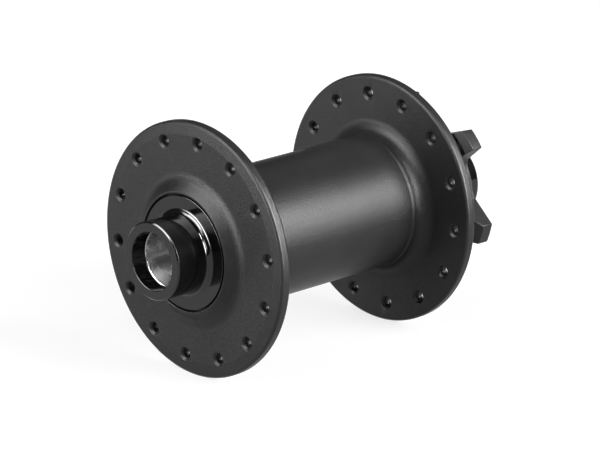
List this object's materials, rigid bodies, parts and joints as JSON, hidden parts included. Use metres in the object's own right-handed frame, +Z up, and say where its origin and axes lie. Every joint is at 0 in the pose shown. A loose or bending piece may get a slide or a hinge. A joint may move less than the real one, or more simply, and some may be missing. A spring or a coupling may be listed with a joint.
{
  "type": "bicycle front hub",
  "caption": "Bicycle front hub for a disc brake: flanged spoke shell on sealed ball bearings round a hollow thru-axle spindle with push-on end caps.",
  "frame": {"origin": "on the axle line, midway between the two end faces", "axes": "+Y along the axle towards the disc mount, the bicycle's left side; +Z up; +X forward"},
  "size_m": [0.068, 0.11, 0.068],
  "materials": {
    "satin_black_anodise": "bead-blasted satin black anodising",
    "gloss_black_anodise": "polished black anodising",
    "bare_aluminium": "fine turned, bare",
    "bearing_steel": "ground",
    "ball_steel": "polished",
    "cage_steel": "pressed sheet",
    "black_rubber": "matte"
  },
  "bodies": {
    "spindle": {"axle": "bare_aluminium", "endcap_right": "gloss_black_anodise", "endcap_left": "gloss_black_anodise", "oring_right": "black_rubber", "oring_left": "black_rubber", "bearing_right_inner_ring": "bearing_steel", "bearing_left_inner_ring": "bearing_steel"},
    "shell": {"hub_shell": "satin_black_anodise", "bearing_right_outer_ring": "bearing_steel", "bearing_left_outer_ring": "bearing_steel", "bearing_right_seal_outer": "black_rubber", "bearing_right_seal_inner": "black_rubber", "bearing_left_seal_outer": "black_rubber", "bearing_left_seal_inner": "black_rubber"},
    "cage_right": {"bearing_right_balls": "ball_steel", "bearing_right_cage_outer": "cage_steel", "bearing_right_cage_inner": "cage_steel", "bearing_right_cage_rivets": "cage_steel"},
    "cage_left": {"bearing_left_balls": "ball_steel", "bearing_left_cage_outer": "cage_steel", "bearing_left_cage_inner": "cage_steel", "bearing_left_cage_rivets": "cage_steel"}
  },
  "joints": [
    {"name": "shell_spin", "type": "hinge", "parent": "spindle", "child": "shell", "pos_m": [0, 0, 0], "axis": [0, 1, 0], "continuous": true},
    {"name": "cage_right_spin", "type": "hinge", "parent": "spindle", "child": "cage_right", "pos_m": [0, -0.0389, 0], "axis": [0, 1, 0], "continuous": true},
    {"name": "cage_left_spin", "type": "hinge", "parent": "spindle", "child": "cage_left", "pos_m": [0, 0.0399, 0], "axis": [0, 1, 0], "continuous": true}
  ],
  "couplings": [
    {"joint": "cage_right_spin", "follows": "shell_spin", "ratio": 0.58436},
    {"joint": "cage_left_spin", "follows": "shell_spin", "ratio": 0.58436}
  ]
}
